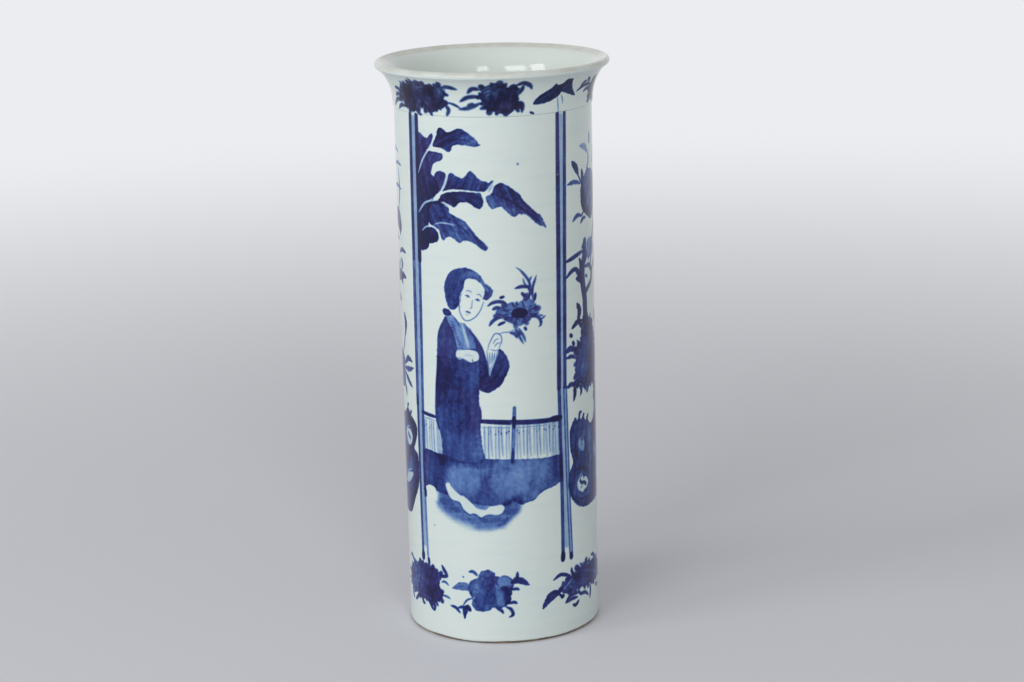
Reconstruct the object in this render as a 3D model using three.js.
// Sleeve vase: a thrown porcelain cylinder with a flared collar, a coved floor and a turned foot ring.
// Millimetres, +Z up, origin at the middle of the face that the foot rests on.

import * as THREE from 'three';

// Overall form: the cylinder draws in a little towards the foot, and the lip overhangs it
const height = 250;
const body_radius = 42.5;
const foot_draw_in = 0.5;
const rim_overhang = 7.9;
const wall_at_foot = 5.4;
const wall_at_shoulder = 4.2;

// Luted joints: flat faces meet, and a bed of slip stands between the upright faces
const slip_bed = 0.3;

// Mouth collar
const collar_height = 19.4;
const collar_proud = 0.35;
const collar_edge_round = 0.6;
const lip_radius = 1.65;
const spigot_height = 3;
const spigot_thickness = 2;

// The cavetto of the flare, as shares of its reach outwards and of its height
const flare_shares = [[0, 0.42], [0.34, 0.8]];
const throat_shares = [[0, 0.42], [0.3, 0.86]];
const flare_underlip_angle = -0.62;
const throat_lip_angle = 2.35;

// Foot ring
const foot_ring_height = 6.5;
const foot_ring_width = 8.6;
const foot_bevel_width = 1.3;
const foot_bevel_height = 2.2;
const foot_inner_round = 1.2;
const foot_inner_lean = 0.9;

// Floor
const floor_thickness = 5;
const floor_cove_radius = 4.5;
const floor_land = 1.2;
const underside_dome = 0.5;

// Fineness of the revolved surfaces
const turns_around = 96;
const steps_on_flare = 9;
const steps_on_round = 3;
const steps_on_lip = 6;

// Colours and gloss of the fired pieces
const glaze_colour = 0xd9dfe0;
const floor_colour = 0xcfd6d4;
const biscuit_colour = 0xc9b79c;
const glaze_roughness = 0.12;
const biscuit_roughness = 0.85;

const foot_radius = body_radius - foot_draw_in;
const rim_radius = body_radius + rim_overhang;
const wall_bottom = foot_ring_height;
const wall_top = height - collar_height;
const spigot_top = wall_top + spigot_height;
const foot_bore_radius = foot_radius - wall_at_foot;
const shoulder_bore_radius = body_radius - wall_at_shoulder;

// Porcelain as fired: glossy where it is glazed, matt where it is bare
function porcelain(colour, roughness) {
  return new THREE.MeshStandardMaterial({ color: colour, roughness, metalness: 0 });
}

// A closed profile in (radius, height), revolved about the vase's upright axis
function turned(name, profile, material) {
  profile.autoClose = true;
  const geometry = new THREE.LatheGeometry(profile.getPoints(steps_on_round), turns_around);
  geometry.rotateX(Math.PI / 2);
  const mesh = new THREE.Mesh(geometry, material);
  mesh.name = name;
  return mesh;
}

// Adds a curve's points to a profile as short straight runs
function follow(profile, curve, steps) {
  for (const point of curve.getPoints(steps)) {
    profile.lineTo(point.x, point.y);
  }
}

// The point of the lip's round at an angle from level and outwards
function onLip(centre, angle) {
  const out = lip_radius * Math.cos(angle);
  const up = lip_radius * Math.sin(angle);
  return new THREE.Vector2(centre.x + out, centre.y + up);
}

// A cavetto that rises upright from start and bends over to end
function cavetto(start, end, shares) {
  const reach = end.x - start.x;
  const rise = end.y - start.y;
  const controls = shares.map(
    ([out_share, up_share]) => new THREE.Vector2(start.x + reach * out_share, start.y + rise * up_share),
  );
  return new THREE.CubicBezierCurve(start, controls[0], controls[1], end);
}

// Flared collar: rolled lip, cavetto outside and throat inside, rebated underneath to sit over the spigot
function mouthCollar() {
  const outer_radius = body_radius + collar_proud;
  const rebate_radius = shoulder_bore_radius + spigot_thickness + slip_bed;
  const lip_centre = new THREE.Vector2(rim_radius - lip_radius, height - lip_radius);

  const flare_start = new THREE.Vector2(outer_radius, wall_top + collar_edge_round);
  const flare = cavetto(flare_start, onLip(lip_centre, flare_underlip_angle), flare_shares);
  const throat_start = new THREE.Vector2(shoulder_bore_radius, spigot_top);
  const throat = cavetto(throat_start, onLip(lip_centre, throat_lip_angle), throat_shares);

  const profile = new THREE.Path();
  profile.moveTo(rebate_radius, wall_top);
  profile.lineTo(outer_radius - collar_edge_round, wall_top);
  profile.quadraticCurveTo(outer_radius, wall_top, flare_start.x, flare_start.y);
  follow(profile, flare, steps_on_flare);
  const lip = new THREE.EllipseCurve(
    lip_centre.x, lip_centre.y, lip_radius, lip_radius, flare_underlip_angle, throat_lip_angle,
  );
  follow(profile, lip, steps_on_lip);
  follow(profile, new THREE.CubicBezierCurve(throat.v3, throat.v2, throat.v1, throat.v0), steps_on_flare);
  profile.lineTo(rebate_radius, spigot_top);
  return turned('mouth_collar', profile, porcelain(glaze_colour, glaze_roughness));
}

// Thrown cylinder, thicker towards the foot, with a spigot on its top inside the collar
function bodyWall() {
  const spigot_radius = shoulder_bore_radius + spigot_thickness;
  const profile = new THREE.Path();
  profile.moveTo(foot_bore_radius, wall_bottom);
  profile.lineTo(foot_radius, wall_bottom);
  profile.lineTo(body_radius, wall_top);
  profile.lineTo(spigot_radius, wall_top);
  profile.lineTo(spigot_radius, spigot_top);
  profile.lineTo(shoulder_bore_radius, spigot_top);
  return turned('body_wall', profile, porcelain(glaze_colour, glaze_roughness));
}

// Floor slab inside the wall, coved up at its edge and faintly domed underneath
function baseDisc() {
  const edge_radius = foot_bore_radius - slip_bed;
  const cove_top_radius = edge_radius - floor_land;
  const floor_top = wall_bottom + floor_thickness;
  const cove_centre_radius = cove_top_radius - floor_cove_radius;
  const seat_radius = foot_radius - foot_ring_width;
  const profile = new THREE.Path();
  profile.moveTo(0, wall_bottom + underside_dome);
  profile.quadraticCurveTo(seat_radius / 2, wall_bottom + underside_dome, seat_radius, wall_bottom);
  profile.lineTo(edge_radius, wall_bottom);
  profile.lineTo(edge_radius, floor_top + floor_cove_radius);
  profile.lineTo(cove_top_radius, floor_top + floor_cove_radius);
  profile.absarc(cove_centre_radius, floor_top + floor_cove_radius, floor_cove_radius, 0, -Math.PI / 2, true);
  profile.lineTo(0, floor_top);
  return turned('base_disc', profile, porcelain(floor_colour, glaze_roughness));
}

// Turned foot ring: bare bevel outside, flat resting face, rounded and leaning inner side
function footRing() {
  const inner_radius = foot_radius - foot_ring_width;
  const rest_inner_radius = inner_radius + foot_inner_lean + foot_inner_round;
  const rest_outer_radius = foot_radius - foot_bevel_width;
  const profile = new THREE.Path();
  profile.moveTo(rest_inner_radius, 0);
  profile.lineTo(rest_outer_radius, 0);
  profile.lineTo(foot_radius, foot_bevel_height);
  profile.lineTo(foot_radius, foot_ring_height);
  profile.lineTo(inner_radius, foot_ring_height);
  profile.lineTo(inner_radius + foot_inner_lean, foot_inner_round);
  profile.quadraticCurveTo(inner_radius + foot_inner_lean, 0, rest_inner_radius, 0);
  return turned('foot_ring', profile, porcelain(biscuit_colour, biscuit_roughness));
}

const vase = new THREE.Group();
vase.add(mouthCollar(), bodyWall(), baseDisc(), footRing());

export default vase;
